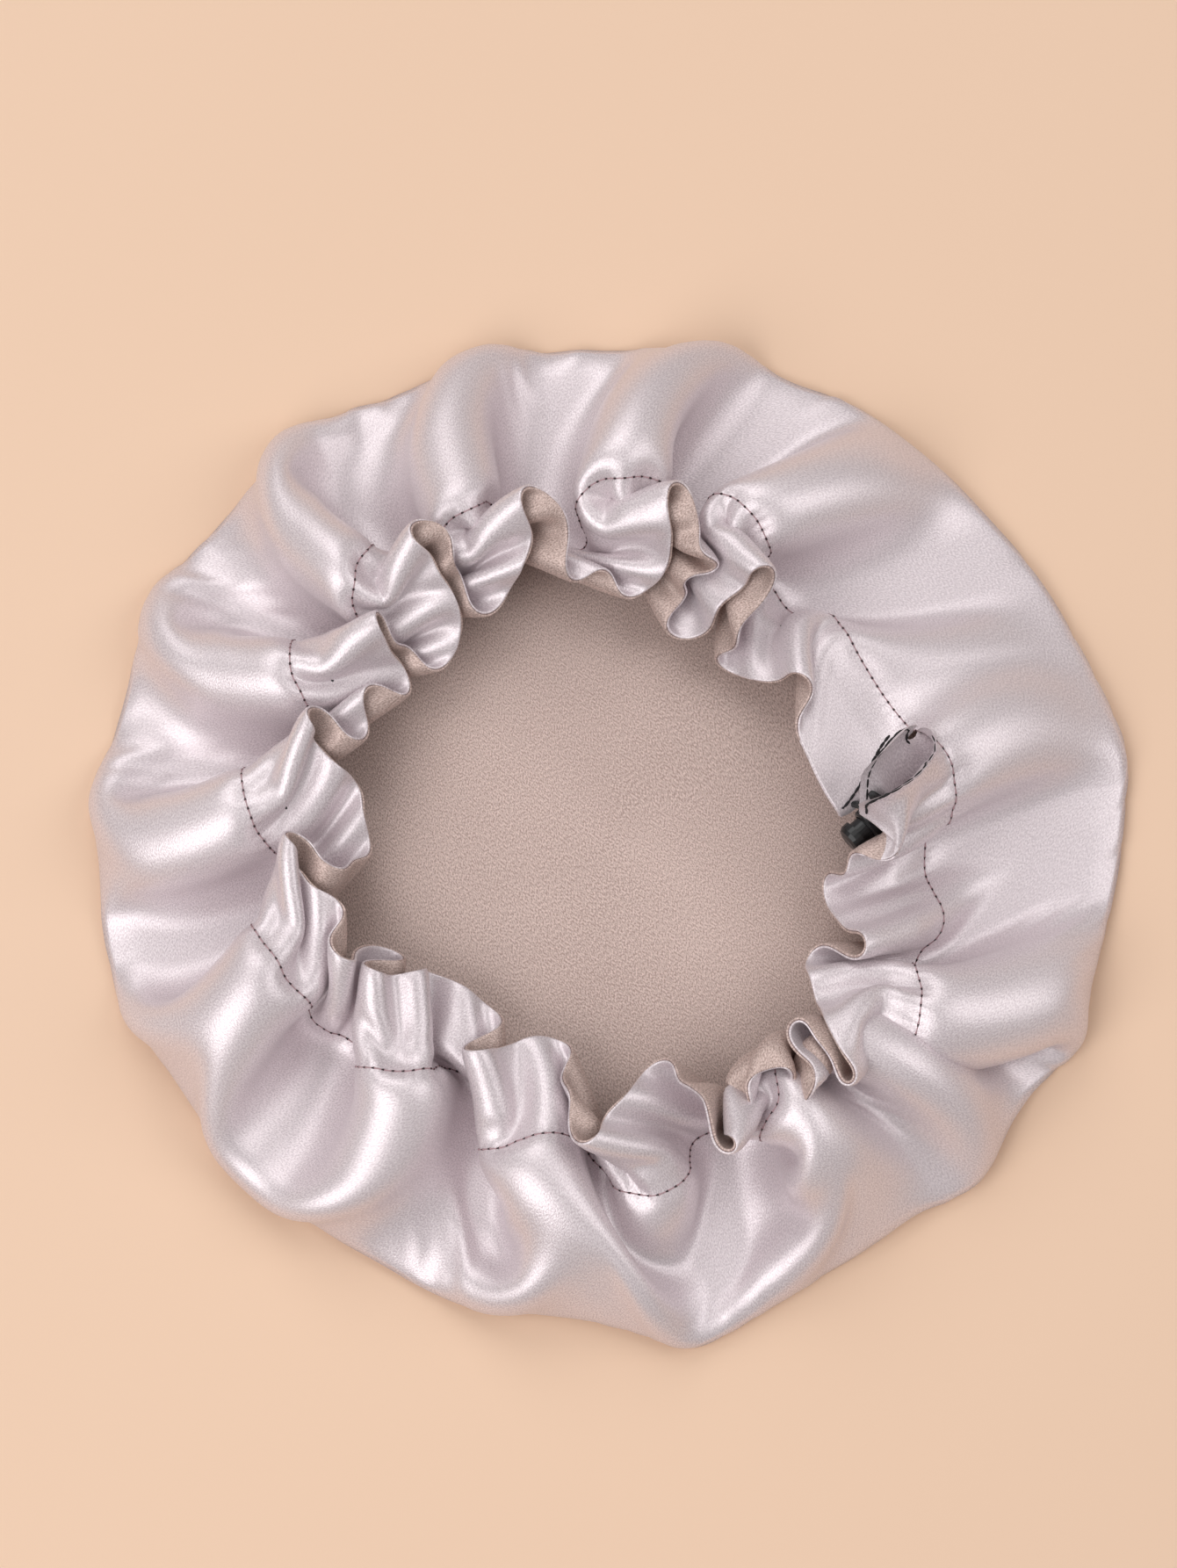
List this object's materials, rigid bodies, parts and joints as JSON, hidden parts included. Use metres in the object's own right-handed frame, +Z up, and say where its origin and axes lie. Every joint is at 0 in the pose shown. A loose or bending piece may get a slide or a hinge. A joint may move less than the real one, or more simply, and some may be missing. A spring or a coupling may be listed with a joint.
{
  "type": "satin hair bonnet",
  "caption": "Round two-layer satin bonnet lying crown down, its mouth gathered by an elastic drawcord in a ruffled casing with a spring cord lock.",
  "frame": {"origin": "the middle of the crown, on the surface that the bonnet lies on", "axes": "+Z up out of the mouth, -Z through the crown onto the table, +X towards the cord lock"},
  "size_m": [0.3078, 0.3034, 0.0516],
  "materials": {
    "lilac_satin": "glossy satin weave",
    "champagne_satin": "glossy satin weave",
    "sewing_thread": "matt thread",
    "black_thread": "matt thread",
    "black_elastic": "braided",
    "black_plastic": "moulded gloss",
    "spring_steel": "drawn wire"
  },
  "bodies": {
    "bonnet": {"outer_satin_shell": "lilac_satin", "satin_lining": "champagne_satin", "casing_stitch_row": "sewing_thread", "rim_seam_thread": "sewing_thread", "upper_mouth_hem_stitch": "black_thread", "lower_mouth_hem_stitch": "black_thread", "elastic_drawcord": "black_elastic", "drawcord_knot": "black_elastic"},
    "cord_lock": {"cord_lock_barrel": "black_plastic", "cord_lock_spring": "spring_steel"},
    "plunger": {"cord_lock_plunger": "black_plastic"}
  },
  "joints": [
    {"name": "lock_slide", "type": "slide", "parent": "bonnet", "child": "cord_lock", "axis": [0, 0, -1], "range_m": [0, 0.008]},
    {"name": "plunger_press", "type": "slide", "parent": "cord_lock", "child": "plunger", "axis": [0.7431, 0.6691, 0], "range_m": [0, 0.003], "stiffness_N_per_m": 800, "springref_m": -0.003, "deforming": ["cord_lock_spring"]}
  ]
}
